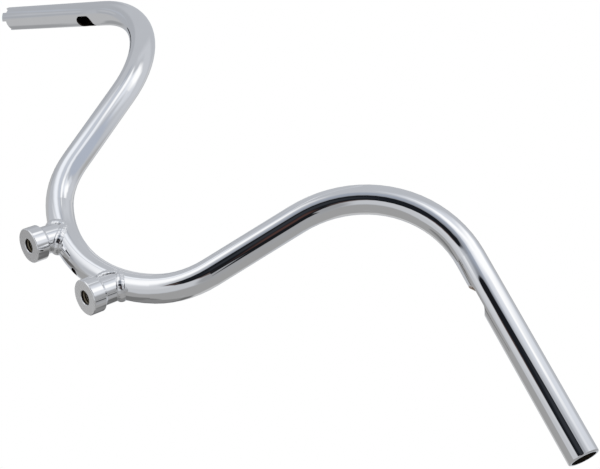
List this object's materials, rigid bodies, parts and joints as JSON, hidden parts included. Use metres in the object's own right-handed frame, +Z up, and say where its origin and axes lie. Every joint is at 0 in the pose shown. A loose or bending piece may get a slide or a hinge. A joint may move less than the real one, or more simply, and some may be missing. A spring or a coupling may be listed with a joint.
{
  "type": "motorcycle handlebar",
  "caption": "Chrome-plated motorcycle handlebar: a round tube bent up and back to both grips, on welded riser bosses with threaded holes for the yoke bolts.",
  "frame": {"origin": "midway between the two riser bosses, on the plane of their flat faces, where the bar sits on the yoke", "axes": "+X to the rider's right, +Y forward, +Z up along the boss axes and the fork's steering axis"},
  "size_m": [0.8355, 0.1335, 0.2383],
  "materials": {
    "chrome": "polished chrome plating on bent steel tube",
    "chrome_boss": "polished chrome plating on turned steel, with fine turning lines on the face",
    "chrome_weld": "chrome plating over a rippled weld bead"
  },
  "bodies": {
    "root": {"handlebar_tube": "chrome", "riser_boss_left": "chrome_boss", "riser_boss_right": "chrome_boss", "weld_bead_left": "chrome_weld", "weld_bead_right": "chrome_weld"}
  },
  "joints": []
}
